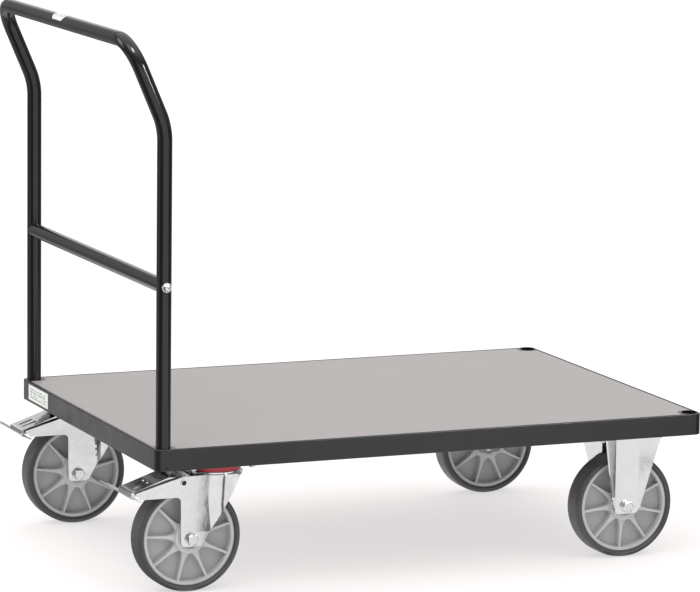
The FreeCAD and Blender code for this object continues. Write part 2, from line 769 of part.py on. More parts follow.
def fixed_wing():
    """Front wing of the right leg: flares out from the recessed panel towards the plate's edge."""
    low = 86.0
    edge_x = 22.0
    inside = fork_half - fork_wall
    low_quad = [vec(edge_x, -inside, low), vec(edge_x, -fork_half, low),
                vec(edge_x + 3.0, -fork_half - 0.8, low), vec(edge_x + 3.6, -inside - 1.2, low)]
    top_quad = [vec(edge_x, -inside, plate_bottom), vec(edge_x, -fork_half, plate_bottom),
                vec(51.0, -53.5, plate_bottom), vec(53.0, -51.0, plate_bottom)]
    wires = [Part.makePolygon(q + [q[0]]) for q in (low_quad, top_quad)]
    return Part.makeLoft(wires, True, True)


def fixed_fork():
    """One-piece fixed fork: plate, and two legs with a recessed panel between flared wings."""
    corners = [(-22.0, 78.0), (22.0, 78.0), (22.5, plate_bottom), (-22.5, plate_bottom)]
    leg = side_prism(corners, [7.0, 7.0, 0, 0], -fork_half, -fork_half + fork_wall)
    wing = fixed_wing()
    side = fused([leg, wing, mirrored(wing, X_AXIS)])
    fork = fused([plate_blank(), side, mirrored(side, Y_AXIS)])
    return fork.cut(cross_cylinder(0, axle_height, -70, 70, axle_radius + running_gap))


# --- Push bow -----------------------------------------------------------------------------------------

def bow_route(radius_change):
    """Centre line of the bow from the right socket to the left one, with its bend radii."""
    top_x = bow_x - bow_rake
    foot = frame_underside + socket_floor + 0.3
    points = [vec(bow_x, -bow_y, foot), vec(bow_x, -bow_y, knee_height), vec(top_x, -bow_y, bow_top),
              vec(top_x, bow_y, bow_top), vec(bow_x, bow_y, knee_height), vec(bow_x, bow_y, foot)]
    radii = [0, knee_radius, bow_corner_radius, bow_corner_radius, knee_radius, 0]
    return points, [r + radius_change for r in radii]


def bent_path(points, radii):
    """Wire of straight runs joined by tangent arcs."""
    edges = []
    last = points[0]
    for i in range(1, len(points) - 1):
        to_before = (points[i - 1] - points[i]).normalize()
        to_after = (points[i + 1] - points[i]).normalize()
        half = to_before.getAngle(to_after) / 2.0
        setback = radii[i] / math.tan(half)
        start = points[i] + to_before * setback
        end = points[i] + to_after * setback
        middle = (to_before + to_after).normalize()
        crest = points[i] + middle * (radii[i] / math.sin(half) - radii[i])
        edges.append(Part.makeLine(last, start))
        edges.append(Part.Arc(start, crest, end).toShape())
        last = end
    edges.append(Part.makeLine(last, points[-1]))
    return Part.Wire(edges)


def swept_rod(path, radius):
    start = path.Edges[0].Vertexes[0].Point
    circle = Part.Wire(Part.makeCircle(radius, start, Z_AXIS))
    return path.makePipeShell([circle], True, False)


def push_bow():
    """Bent tube with cross holes for the crossbar's screws."""
    points, radii = bow_route(0.0)
    path = bent_path(points, radii)
    bow = swept_rod(path, tube_radius).cut(swept_rod(path, tube_radius - tube_wall))
    return bow.cut(cross_cylinder(bow_x, crossbar_height, -half_width - 5, half_width + 5, 4.2))


def crossbar():
    """Straight tube between the uprights, its ends coped to fit them."""
    tube = cross_cylinder(bow_x, crossbar_height, -bow_y, bow_y, crossbar_radius)
    bore = crossbar_radius - crossbar_wall
    tube = tube.cut(cross_cylinder(bow_x, crossbar_height, -bow_y - 1, bow_y + 1, bore))
    for side in (-1, 1):
        cope = upright_cylinder(bow_x, side * bow_y, crossbar_height - 30, crossbar_height + 30,
                                tube_radius + 0.05)
        tube = tube.cut(cope)
    return tube


def crossbar_inserts():
    """Threaded plugs inside the crossbar's ends."""
    solids = []
    for side in (-1, 1):
        y0, y1 = sorted((side * (bow_y - tube_radius - 1.0), side * (bow_y - tube_radius - 26.0)))
        plug = cross_cylinder(bow_x, crossbar_height, y0, y1, crossbar_radius - crossbar_wall - 0.05)
        plug = plug.cut(cross_cylinder(bow_x, crossbar_height, y0 - 1, y1 + 1, 4.05))
        solids.append(plug)
    return solids


def crossbar_screws():
    """Button-head screws through the uprights into the crossbar's inserts."""
    seat = -bow_y - tube_radius - 1.6
    profile = [(0, seat - 4.4), (3.0, seat - 4.3), (5.4, seat - 3.0), (6.8, seat - 0.8), (6.8, seat),
               (4.0, seat), (4.0, -bow_y + tube_radius + 22.0), (0, -bow_y + tube_radius + 22.0)]
    screw = turned_about_y(profile)
    socket = hexagon_prism(5.0, 2.6)
    socket.rotate(ORIGIN, X_AXIS, -90)
    socket.translate(vec(0, seat - 4.5, 0))
    screw = moved(screw.cut(socket), bow_x, 0, crossbar_height)
    return [screw, mirrored(screw, Y_AXIS)]


def crossbar_washers():
    """Saddle washers between the screw heads and the tube."""
    seat = -bow_y - tube_radius - 1.6
    disc = cross_cylinder(bow_x, crossbar_height, seat, -bow_y - tube_radius + 3.0, 8.0)
    disc = disc.cut(cross_cylinder(bow_x, crossbar_height, seat - 1, -bow_y, 4.2))
    upright = upright_cylinder(bow_x, -bow_y, crossbar_height - 30, crossbar_height + 30, tube_radius + 0.05)
    disc = disc.cut(upright)
    return [disc, mirrored(disc, Y_AXIS)]


def bow_end_plugs():
    """Plastic plugs pressed into the bow's two open ends."""
    foot = frame_underside + socket_floor + 0.3
    inner = tube_radius - tube_wall
    plug = upright_cylinder(bow_x, -bow_y, foot + 0.5, foot + 14.0, inner)
    hollow = upright_cylinder(bow_x, -bow_y, foot + 3.0, foot + 14.0, inner - 2.5)
    plug = plug.cut(hollow)
    return [plug, mirrored(plug, Y_AXIS)]


def handle_label():
    """Thin label with rounded corners, wrapped over the upper rear of the top bar."""
    length = 54.0
    half_width = 9.4
    middle_y = -2.0
    first_y = middle_y - length / 2.0
    top_x = bow_x - bow_rake
    sheet = cross_cylinder(top_x, bow_top, first_y, first_y + length, tube_radius + 0.35)
    sheet = sheet.cut(cross_cylinder(top_x, bow_top, first_y - 1.0, first_y + length + 1.0, tube_radius + 0.01))
    outline = box(-30.0, 0.0, first_y, first_y + length, -half_width, half_width)
    corners = [edge for edge in outline.Edges if edge.BoundBox.XLength > 29.0]
    outline = outline.makeFillet(7.5, corners)
    outline.rotate(ORIGIN, Y_AXIS, 65.0)
    outline.translate(vec(top_x, 0, bow_top))
    return sheet.common(outline)


# --- Write every node -----------------------------------------------------------------------------------

def build_platform():
    rail = side_rail()
    export("side_rail_right", rail)
    export("side_rail_left", mirrored(rail, Y_AXIS))
    rear = end_rail()
    export("end_rail_rear", moved(rear, platform_x, 0, 0))
    export("end_rail_front", moved(mirrored(rear, X_AXIS), platform_x, 0, 0))
    rear_socket = socket_with_clamp_hole()
    plain_socket = moved(corner_socket(), -platform_x, 0, 0)
    front_socket = moved(mirrored(plain_socket, X_AXIS), platform_x, 0, 0)
    export("corner_sockets_rear", [rear_socket, mirrored(rear_socket, Y_AXIS)])
    export("corner_sockets_front", [front_socket, mirrored(front_socket, Y_AXIS)])
    front_socket_x = front_face - socket_inset
    export("socket_plugs", [moved(socket_plug(), front_socket_x, side * bow_y, 0) for side in (-1, 1)])
    export("bow_clamp_screws", [clamp_screw(), mirrored(clamp_screw(), Y_AXIS)])
    export("deck_board", board_with_screw_holes())
    export("board_screws", board_screws())
    export("castor_bearer_rear", bearer(castor_bearer_half, swivel_x, bearer_bolt_holes()))
    export("castor_bearer_front", bearer(castor_bearer_half, fixed_x, bearer_bolt_holes()))
    export("centre_bearer", bearer(centre_bearer_half, platform_x, []))
    export("rating_label", rating_label())
    export("castor_plate_bolts", at_all_castors(plate_bolts()))
    export("castor_plate_nuts", at_all_castors(plate_nuts()))
    sides = (-castor_track, castor_track)
    export("seal_rings", [moved(seal_ring(), swivel_x, y, 0) for y in sides])
    export("king_pins", [moved(king_pin(), swivel_x, y, 0) for y in sides])


def build_swivel_castor(side_name, side):
    axle_x = swivel_x - trail
    y = side * castor_track
    export("swivel_plate_" + side_name, moved(swivel_plate(), swivel_x, y, 0))
    export("swivel_fork_" + side_name, moved(swivel_fork(), axle_x, y, 0))
    export("pedal_pin_" + side_name, moved(pedal_pin(), axle_x, y, 0))
    export("pedal_spring_" + side_name, moved(pedal_spring(), axle_x, y, 0))
    export("brake_pedal_" + side_name, moved(brake_pedal(), axle_x, y, 0))
    export("brake_shoe_" + side_name, moved(brake_shoe(), axle_x, y, 0))
    build_wheel("swivel_" + side_name, axle_x, y)
    export("swivel_axle_bolt_" + side_name, moved(axle_bolt(), axle_x, y, axle_height))
    export("swivel_axle_nut_" + side_name, moved(axle_nut(), axle_x, y, axle_height))
    export("swivel_axle_bush_" + side_name, moved(axle_bush(), axle_x, y, axle_height))


def build_wheel(name, x, y):
    export(name + "_rim", moved(rim(wheel_phase[name]), x, y, axle_height))
    export(name + "_tyre", moved(tyre(), x, y, axle_height))
    export(name + "_bearings", [moved(b, x, y, axle_height) for b in bearings()])


def build_fixed_castors():
    sides = (("right", -1), ("left", 1))
    for side_name, side in sides:
        y = side * castor_track
        export("fixed_fork_" + side_name, moved(fixed_fork(), fixed_x, y, 0))
        build_wheel("fixed_" + side_name, fixed_x, y)
    places = [(fixed_x, side * castor_track, axle_height) for side_name, side in sides]
    export("fixed_axle_bolts", [moved(axle_bolt(), x, y, z) for x, y, z in places])
    export("fixed_axle_nuts", [moved(axle_nut(), x, y, z) for x, y, z in places])
    export("fixed_axle_bushes", [moved(axle_bush(), x, y, z) for x, y, z in places])


def build_push_bow():
    export("push_bow", push_bow())
    export("crossbar", crossbar())
    export("crossbar_inserts", crossbar_inserts())
    export("crossbar_screws", crossbar_screws())
    export("crossbar_washers", crossbar_washers())
    export("bow_end_plugs", bow_end_plugs())
    export("handle_label", handle_label())


os.makedirs("parts", exist_ok=True)
build_platform()
build_swivel_castor("right", -1)
build_swivel_castor("left", 1)
build_fixed_castors()
build_push_bow()
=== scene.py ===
import bpy
import bmesh
import json
import math
from mathutils import Matrix, Vector


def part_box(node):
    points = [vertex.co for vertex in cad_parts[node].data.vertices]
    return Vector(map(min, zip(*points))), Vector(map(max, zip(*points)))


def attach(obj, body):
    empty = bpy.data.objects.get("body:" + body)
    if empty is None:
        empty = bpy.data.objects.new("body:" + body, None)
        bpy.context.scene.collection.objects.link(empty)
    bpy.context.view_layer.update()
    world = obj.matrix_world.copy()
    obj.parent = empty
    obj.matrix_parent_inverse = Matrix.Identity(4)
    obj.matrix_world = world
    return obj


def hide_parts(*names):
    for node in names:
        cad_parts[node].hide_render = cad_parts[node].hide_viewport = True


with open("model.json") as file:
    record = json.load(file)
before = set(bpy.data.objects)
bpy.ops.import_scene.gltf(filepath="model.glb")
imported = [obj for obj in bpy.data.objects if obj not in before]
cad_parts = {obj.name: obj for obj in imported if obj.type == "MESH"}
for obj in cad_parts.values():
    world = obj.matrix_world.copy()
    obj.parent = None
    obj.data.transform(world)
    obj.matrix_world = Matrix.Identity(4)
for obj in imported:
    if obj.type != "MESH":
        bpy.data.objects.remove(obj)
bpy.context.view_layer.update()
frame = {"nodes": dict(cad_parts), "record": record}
NODES = frame["nodes"]
BODY_OF = {n: b for b, members in frame["record"]["behaviour"]["bodies"].items() for n in members}
SLOT_OF = {s["node"]: s["material_slot"] for s in frame["record"]["subparts"]}
MM = 0.001

# ---------------------------------------------------------------- camera
# A long lens, looking from behind the cart's right rear corner and slightly down.
AZIMUTH = math.radians(-22.63)
ELEVATION = math.radians(9.272)
ROLL = math.radians(0.705)
CAMERA_AT = Vector((-2.93309, -7.0674, 1.6793))
LENS = 228.93
SENSOR = 36.0


def make_camera():
    right = Vector((math.cos(AZIMUTH), math.sin(AZIMUTH), 0))
    back = Vector((math.sin(AZIMUTH) * math.cos(ELEVATION), -math.cos(AZIMUTH) * math.cos(ELEVATION),
                   math.sin(ELEVATION)))
    up = back.cross(right)
    c, s = math.cos(ROLL), math.sin(ROLL)
    right, up = c * right + s * up, -s * right + c * up
    data = bpy.data.cameras.new("camera")
    data.sensor_fit = "HORIZONTAL"
    data.sensor_width = SENSOR
    data.lens = LENS
    data.clip_end = 200
    cam = bpy.data.objects.new("camera", data)
    bpy.context.scene.collection.objects.link(cam)
    m = Matrix((right, up, back)).transposed().to_4x4()
    m.translation = CAMERA_AT
    cam.matrix_world = m
    bpy.context.scene.camera = cam


# ---------------------------------------------------------------- shader helpers
class Shader:
    """One material with a Principled shader and helpers that add nodes to it."""

    def __init__(self, name):
        self.mat = bpy.data.materials.new(name)
        self.mat.use_nodes = True
        self.nt = self.mat.node_tree
        self.bsdf = self.nt.nodes["Principled BSDF"]
        self.coord = self.nt.nodes.new("ShaderNodeTexCoord").outputs["Object"]

    def node(self, kind, inputs=None, **props):
        n = self.nt.nodes.new(kind)
        for k, v in props.items():
            setattr(n, k, v)
        for k, v in (inputs or {}).items():
            self.feed(n.inputs[k], v)
        return n

    def feed(self, socket, v):
        if isinstance(v, bpy.types.NodeSocket):
            self.nt.links.new(v, socket)
        else:
            socket.default_value = v

    def noise(self, scale, detail=3.0, rough=0.5, coord=None, distortion=0.0):
        n = self.node("ShaderNodeTexNoise", {"Scale": scale, "Detail": detail, "Roughness": rough,
                                             "Distortion": distortion, "Vector": coord or self.coord})
        return n.outputs["Fac"]

    def stretch(self, sx, sy, sz):
        return self.node("ShaderNodeMapping", {"Vector": self.coord, "Scale": (sx, sy, sz)}).outputs[0]

    def remap(self, v, a, b, lo, hi):
        return self.node("ShaderNodeMapRange", {0: v, 1: a, 2: b, 3: lo, 4: hi}).outputs[0]

    def math(self, op, a, b=0.0):
        return self.node("ShaderNodeMath", {0: a, 1: b}, operation=op).outputs[0]

    def mix(self, fac, a, b):
        n = self.node("ShaderNodeMix", data_type="RGBA")
        self.feed(n.inputs[0], fac)
        self.feed(n.inputs[6], a)
        self.feed(n.inputs[7], b)
        return n.outputs[2]

    def bump(self, height, strength, distance, normal=None):
        ins = {"Height": height, "Strength": strength, "Distance": distance}
        if normal is not None:
            ins["Normal"] = normal
        return self.node("ShaderNodeBump", ins).outputs[0]

    def set(self, **kw):
        names = {"color": "Base Color", "rough": "Roughness", "metal": "Metallic", "normal": "Normal",
                 "spec": "Specular IOR Level", "glow": "Emission Color", "glow_strength": "Emission Strength"}
        for k, v in kw.items():
            self.feed(self.bsdf.inputs[names[k]], v)
        return self.mat


def rgb(r, g, b):
    """Linear colour of an sRGB one given from 0 to 255."""
    def lin(c):
        c /= 255.0
        return c / 12.92 if c <= 0.04045 else ((c + 0.055) / 1.055) ** 2.4
    return (lin(r), lin(g), lin(b), 1.0)


BLACK = (0.0, 0.0, 0.0, 1.0)


def scaled(color, k):
    return tuple(c * k for c in color[:3]) + (1.0,)


def clouded(s, cloud, color, low, high):
    """The colour, clouded between two strengths."""
    return s.mix(s.remap(cloud, 0.3, 0.7, 0.0, 1.0), scaled(color, low), scaled(color, high))


def powder_coat(name, color, rough, peel):
    """Paint with orange peel, faint cloudiness and a few pale rubbed specks."""
    s = Shader(name)
    cloud = s.noise(7.0, 4.0, 0.6)
    fine = s.noise(420.0, 2.0, 0.5)
    speck = s.remap(s.noise(95.0, 5.0, 0.7), 0.70, 0.78, 0.0, 1.0)
    tone = clouded(s, cloud, color, 0.90, 1.12)
    tone = s.mix(s.math("MULTIPLY", speck, 0.15), tone, scaled(color, 1.8))
    r = s.math("ADD", s.remap(s.noise(30.0, 4.0, 0.6), 0.3, 0.7, rough * 0.82, rough * 1.18),
               s.math("MULTIPLY", speck, 0.05))
    return s.set(color=tone, rough=r, normal=s.bump(fine, peel, 0.0004), spec=0.5)


def zinc(name, color, rough):
    """Bright zinc plate: cloudy spangle, faint drawing lines and small dull spots."""
    s = Shader(name)
    cloud = s.noise(38.0, 5.0, 0.6, distortion=0.4)
    lines = s.noise(260.0, 2.0, 0.5, coord=s.stretch(1.0, 1.0, 0.12))
    spots = s.remap(s.noise(150.0, 3.0, 0.6), 0.62, 0.74, 0.0, 1.0)
    tone = clouded(s, cloud, color, 0.90, 1.04)
    tone = s.mix(s.math("MULTIPLY", spots, 0.25), tone, scaled(color, 0.70))
    r = s.math("ADD", s.remap(cloud, 0.3, 0.7, rough - 0.06, rough + 0.08), s.math("MULTIPLY", spots, 0.10))
    b = s.bump(lines, 0.10, 0.0003, s.bump(s.noise(55.0, 3.0, 0.5), 0.10, 0.0010))
    return s.set(color=tone, rough=r, metal=1.0, normal=b)


def moulded(name, color, rough, grain=0.15, spec=0.5):
    """Moulded plastic: fine matt grain, slight flow marks and scuffs."""
    s = Shader(name)
    flow = s.noise(16.0, 4.0, 0.6, distortion=0.8)
    scuff = s.remap(s.noise(120.0, 5.0, 0.7), 0.66, 0.76, 0.0, 1.0)
    tone = clouded(s, flow, color, 0.93, 1.06)
    tone = s.mix(s.math("MULTIPLY", scuff, 0.18), tone, scaled(color, 1.35))
    r = s.remap(s.noise(70.0, 4.0, 0.6), 0.3, 0.7, rough - 0.06, rough + 0.08)
    return s.set(color=tone, rough=r, normal=s.bump(s.noise(900.0, 2.0, 0.5), grain, 0.0003), spec=spec)


def wheel_nylon(name, color, rough, middle):
    """Moulded nylon with painted shade: darker in the pockets between the ribs, where shade falls."""
    s = Shader(name)
    sep = s.node("ShaderNodeSeparateXYZ", {0: s.coord})
    depth = s.math("ABSOLUTE", s.math("SUBTRACT", s.math("ABSOLUTE", sep.outputs[1]), middle))
    # Painted shade mask: 0 deep in the pockets between the ribs, 1 on the raised faces.
    clear_of_painted_shade = s.remap(depth, 0.0045, 0.0150, 0.0, 1.0)
    flow = s.noise(16.0, 4.0, 0.6, distortion=0.8)
    scuff = s.remap(s.noise(120.0, 5.0, 0.7), 0.66, 0.76, 0.0, 1.0)
    tone = clouded(s, flow, color, 0.96, 1.04)
    tone = s.mix(s.math("MULTIPLY", scuff, 0.18), tone, scaled(color, 1.25))
    # Painted shade: the pockets are mixed 26% of the way towards black.
    tone = s.mix(clear_of_painted_shade, s.mix(0.26, tone, BLACK), tone)
    r = s.remap(s.noise(70.0, 4.0, 0.6), 0.3, 0.7, rough - 0.06, rough + 0.08)
    return s.set(color=tone, rough=r, normal=s.bump(s.noise(900.0, 2.0, 0.5), 0.12, 0.0003))


def tyre_rubber():
    """Grey elastic rubber with a mould skin and dust in its pores."""
    s = Shader("tyre_rubber")
    base = rgb(77, 76, 78)
    cloud = s.noise(24.0, 5.0, 0.65)
    dust = s.remap(s.noise(190.0, 4.0, 0.7), 0.60, 0.78, 0.0, 1.0)
    tone = clouded(s, cloud, base, 0.88, 1.10)
    tone = s.mix(s.math("MULTIPLY", dust, 0.20), tone, scaled(base, 1.9))
    r = s.remap(s.noise(60.0, 4.0, 0.6), 0.3, 0.7, 0.38, 0.52)
    return s.set(color=tone, rough=r, normal=s.bump(s.noise(520.0, 3.0, 0.6), 0.18, 0.0005), spec=0.4)


def board_face():
    """Matt film on the board: even warm grey with a very fine print, faint streaks and light rubs."""
    s = Shader("board_face")
    base = rgb(162, 157, 157)
    streak = s.noise(9.0, 5.0, 0.6, coord=s.stretch(0.25, 1.6, 1.0))
    print_dots = s.noise(1100.0, 2.0, 0.6)
    rub = s.remap(s.noise(5.0, 6.0, 0.7, coord=s.stretch(1.0, 2.2, 1.0)), 0.60, 0.75, 0.0, 1.0)
    tone = clouded(s, streak, base, 0.975, 1.025)
    tone = s.mix(s.remap(print_dots, 0.40, 0.60, 0.0, 0.30), tone, scaled(base, 0.90))
    r = s.math("ADD", s.remap(streak, 0.3, 0.7, 0.44, 0.52), s.math("MULTIPLY", rub, 0.07))
    return s.set(color=tone, rough=r, normal=s.bump(print_dots, 0.10, 0.0002), spec=0.4)


def label_film(name, base, ink, across, origin, rows, row_height, first, last, seed):
    """White film with generic pale print: short bars in rows along Y, no letters.

    The rows stack up from origin (m) along the axis numbered across, and run from first to last (m).
    """
    s = Shader(name)
    sep = s.node("ShaderNodeSeparateXYZ", {0: s.coord})
    u = s.math("SUBTRACT", sep.outputs[1], origin[0])
    v = s.math("SUBTRACT", sep.outputs[across], origin[1])
    row = s.math("DIVIDE", v, row_height)
    in_row = s.math("LESS_THAN", s.math("FRACT", row), 0.58)
    rows_on = s.math("MULTIPLY", s.math("GREATER_THAN", row, 0.0), s.math("LESS_THAN", row, float(rows)))
    span = s.math("MULTIPLY", s.math("GREATER_THAN", u, first), s.math("LESS_THAN", u, last))
    stepped = s.node("ShaderNodeCombineXYZ", {0: s.math("MULTIPLY", u, 150.0),
                                              1: s.math("MULTIPLY", s.math("FLOOR", row), 17.3), 2: seed})
    words = s.node("ShaderNodeTexNoise", {"Scale": 1.0, "Detail": 1.0, "Vector": stepped.outputs[0]})
    word = s.math("GREATER_THAN", words.outputs["Fac"], 0.47)
    mark = s.math("MULTIPLY", s.math("MULTIPLY", in_row, rows_on), s.math("MULTIPLY", span, word))
    tone = s.mix(s.remap(s.noise(60.0, 3.0, 0.6), 0.3, 0.7, 0.0, 1.0), scaled(base, 0.96), base)
    tone = s.mix(s.math("MULTIPLY", mark, 0.85), tone, ink)
    r = s.remap(s.noise(90.0, 3.0, 0.6), 0.3, 0.7, 0.30, 0.42)
    return s.set(color=tone, rough=r, normal=s.bump(s.noise(160.0, 2.0, 0.5), 0.08, 0.0003))


# The floor's pattern, in m from the cart's middle. Only gloss sees it.
CART_END = 0.40         # the dimming past each end fans out from here
CART_SIDE = 0.30
FAR_FROM, FAR_TO = 0.9, 2.2
SHADE_HALF_X, SHADE_HALF_Y = 0.50, 0.40     # the board's own shadow
STRIP_EDGE = 0.008
STRIP_DEPTH = 0.85
FORK_SIDE = 0.33        # the near forks' outer faces are about this far to the right
GLANCE = 0.417          # x per y of the line of sight that the near forks mirror


def strip(s, along, middle, half):
    """Strength of a soft-edged dark strip that is centred on one value of a coordinate."""
    off = s.math("ABSOLUTE", s.math("SUBTRACT", along, middle))
    return s.remap(off, half, half + STRIP_EDGE, STRIP_DEPTH, 0.0)


def floor_paper():
    """Lit white paper that also glows evenly. Gloss sees painted reflections on it: dimmer past both ends of
    the cart and far behind it, lit up by painted light under the board, and with two dark bands in front that
    the near forks mirror, so that gloss has shape."""
    s = Shader("floor_paper")
    tone = s.mix(s.remap(s.noise(1.4, 4.0, 0.6), 0.3, 0.7, 0.0, 1.0), (0.455, 0.435, 0.435, 1.0),
                 (0.46, 0.44, 0.44, 1.0))
    at = s.node("ShaderNodeSeparateXYZ", {0: s.coord})
    x, y = at.outputs[0], at.outputs[1]
    from_middle_x, from_middle_y = s.math("ABSOLUTE", x), s.math("ABSOLUTE", y)

    # Painted reflection: gloss sees the floor darker past both ends of the cart and far behind it.
    past_end = s.math("SUBTRACT", from_middle_x, CART_END)
    past_side = s.math("MAXIMUM", s.math("SUBTRACT", from_middle_y, CART_SIDE), 0.02)
    fan = s.remap(s.math("DIVIDE", past_end, past_side), 0.55, 1.05, 0.0, 1.0)
    depth = s.remap(y, -0.3, 0.3, 0.90, 0.50)
    end_kept = s.math("SUBTRACT", 1.0, s.math("MULTIPLY", fan, depth))
    far_kept = s.remap(y, FAR_FROM, FAR_TO, 1.0, 0.25)
    kept = s.math("MULTIPLY", end_kept, far_kept)

    # Painted reflection: two dark bands, seen only by gloss, that the near forks mirror.
    mirrored_x = s.math("ADD", x, s.math("MULTIPLY", s.math("ADD", y, FORK_SIDE), GLANCE))
    painted_reflection_bands = s.math("MAXIMUM", strip(s, mirrored_x, -0.345, 0.028), strip(s, mirrored_x, 0.386, 0.006))
    fork_zone = s.remap(y, -1.52, -1.46, 0.0, 1.0)
    kept = s.math("MULTIPLY", kept, s.math("SUBTRACT", 1.0, s.math("MULTIPLY", painted_reflection_bands, fork_zone)))

    # Painted light: gloss sees the board's shadow on the floor lifted by extra glow.
    reach = s.math("MAXIMUM", s.math("DIVIDE", from_middle_x, SHADE_HALF_X),
                   s.math("DIVIDE", from_middle_y, SHADE_HALF_Y))
    painted_gloss_light = s.math("ADD", 0.30, s.remap(reach, 0.75, 1.30, 0.45, 0.0))
    mirrored = s.node("ShaderNodeLightPath").outputs["Is Glossy Ray"]
    tone = s.mix(mirrored, tone, s.mix(kept, BLACK, (0.66, 0.65, 0.65, 1.0)))
    seen = s.math("MULTIPLY", s.math("SUBTRACT", 1.0, mirrored), 0.60)
    glow = s.math("ADD", seen, s.math("MULTIPLY", s.math("MULTIPLY", mirrored, kept), painted_gloss_light))
    return s.set(color=tone, rough=0.9, spec=0.0, glow=(1.0, 0.985, 0.985, 1.0), glow_strength=glow)


# ---------------------------------------------------------------- mesh helpers
def link(mesh, name, mat, smooth=True):
    obj = bpy.data.objects.new(name, mesh)
    bpy.context.scene.collection.objects.link(obj)
    mesh.materials.clear()
    mesh.materials.append(mat)
    for p in mesh.polygons:
        p.use_smooth = smooth
    return obj


def apply_modifiers(obj):
    deps = bpy.context.evaluated_depsgraph_get()
    mesh = bpy.data.meshes.new_from_object(obj.evaluated_get(deps))
    obj.modifiers.clear()
    obj.data = mesh


def sharpen(obj, degrees):
    """Smooth shading that stays crisp across edges sharper than the angle."""
    bm = bmesh.new()
    bm.from_mesh(obj.data)
    limit = math.radians(degrees)
    for e in bm.edges:
        e.smooth = len(e.link_faces) == 2 and e.calc_face_angle(0.0) < limit
    for f in bm.faces:
        f.smooth = True
    bm.to_mesh(obj.data)
    bm.free()


EASED_ANGLE = 32.0      # degrees; sharper edges than this are eased
FLAT_AREA = 60e-6       # m2; two larger faces than this meet in a crisp fold
FOLD_ANGLE = 0.5        # degrees; flatter joints than this are no fold


def clean_copy(node):
    """The node's mesh with shared corners joined, each flat face in one piece and its folds crisp."""
    mesh = NODES[node].data.copy()
    bm = bmesh.new()
    bm.from_mesh(mesh)
    bmesh.ops.remove_doubles(bm, verts=bm.verts, dist=2e-6)
    bmesh.ops.dissolve_limit(bm, angle_limit=math.radians(0.4), verts=bm.verts, edges=bm.edges,
                             delimit={"NORMAL"})
    for e in bm.edges:
        sides = [f.calc_area() for f in e.link_faces]
        if len(sides) == 2 and min(sides) > FLAT_AREA and e.calc_face_angle(0.0) > math.radians(FOLD_ANGLE):
            e.smooth = False
    bm.to_mesh(mesh)
    bm.free()
    return mesh


def eased(node, mat, width):
    """Stands for a CAD node: the same shape with its sharp edges eased, as paint or a press leaves them."""
    obj = link(clean_copy(node), node + "_eased", mat)
    mod = obj.modifiers.new("ease", "BEVEL")
    mod.width = width
    mod.segments = 2
    mod.limit_method = "ANGLE"
    mod.angle_limit = math.radians(EASED_ANGLE)
    mod.miter_outer = "MITER_ARC"
    mod.use_clamp_overlap = True
    flat = obj.modifiers.new("flat", "WEIGHTED_NORMAL")
    flat.weight = 100
    flat.keep_sharp = True
    apply_modifiers(obj)
    settle(obj, node)
    return obj


def settle(obj, *nodes):
    """Puts a new piece in its CAD nodes' place, on the same body, and hides those nodes."""
    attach(obj, BODY_OF[nodes[0]])
    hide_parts(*nodes)
    return obj


def grid_mesh(name, rows, close_rows=True):
    """Quad mesh over rows of points. Each row is a closed ring, and the last row can join the first."""
    nr, nc = len(rows), len(rows[0])
    verts = [tuple(p) for row in rows for p in row]
    faces = []
    for i in range(nr if close_rows else nr - 1):
        for j in range(nc):
            a = i * nc + j
            b = i * nc + (j + 1) % nc
            c = ((i + 1) % nr) * nc + (j + 1) % nc
            d = ((i + 1) % nr) * nc + j
            faces.append((a, b, c, d))
    mesh = bpy.data.meshes.new(name)
    mesh.from_pydata(verts, [], faces)
    mesh.validate()
    bm = bmesh.new()
    bm.from_mesh(mesh)
    bmesh.ops.recalc_face_normals(bm, faces=bm.faces)
    bm.to_mesh(mesh)
    bm.free()
    return mesh


def lathe_y(name, profile, count):
    """Closed section of (radius, y) points in mm turned about the Y axis."""
    rows = []
    for r, y in profile:
        rows.append([Vector((r * math.cos(t), y, r * math.sin(t))) * MM
                     for t in (2 * math.pi * k / count for k in range(count))])
    return grid_mesh(name, rows)


# ---------------------------------------------------------------- wheels
WHEEL_Y = 0.286         # m from the cart's middle plane to each wheel's
# Faces are mm from the wheel's middle plane and radii are mm.
HUB_FACE = 23.0
RING_FACE = 18.0
WEB_FACE = 4.0
RIB_FACE = 16.2
RIB_COUNT = 9
BORE = 17.0
RIM_OUTER = 80.3
SOFT = 0.5              # how gently faces run into each other
TYRE_SEGMENTS = 144
BEARING_SEGMENTS = 64
WHEEL_CREASE = 50.0     # degrees; sharper edges than this stay crisp
# Angle of the first rib, in degrees round the axle.
RIM_PHASE = {"swivel_right": 15.6, "swivel_left": 12.5, "fixed_right": 25.9, "fixed_left": 14.2}


def smooth_max(a, b, k):
    """The larger of two values, with the corner between them rounded over about k."""
    return 0.5 * (a + b + math.sqrt((a - b) ** 2 + k * k))


def ramp(x, a, b):
    """0 below a, 1 above b and an eased rise between them."""
    t = min(max((x - a) / (b - a), 0.0), 1.0)
    return t * t * (3 - 2 * t)


def rib_half(r):
    """Half the rib's width at radius r; it flares into the hub."""
    return 1.8 + 4.4 * math.exp(-max(r - 28.0, 0.0) / 8.5)


def rim_height(r, d):
    """Height of the wheel centre's face at radius r and at distance d from the nearest rib's middle."""
    hub = HUB_FACE * (1 - ramp(r, 25.6, 28.4)) - 0.9 * ramp(r, 24.6, 26.0)
    ring = RING_FACE * ramp(r, 73.0, 74.6) - 0.9 * ramp(r, 79.3, 80.3)
    w = rib_half(r)
    rib = (RIB_FACE - 0.5 * (d / w) ** 2) * (1 - ramp(d, w - 0.1, w + 1.3))
    h = smooth_max(smooth_max(hub, ring, SOFT), WEB_FACE, SOFT)
    return smooth_max(h, rib, SOFT) - 0.25 * SOFT


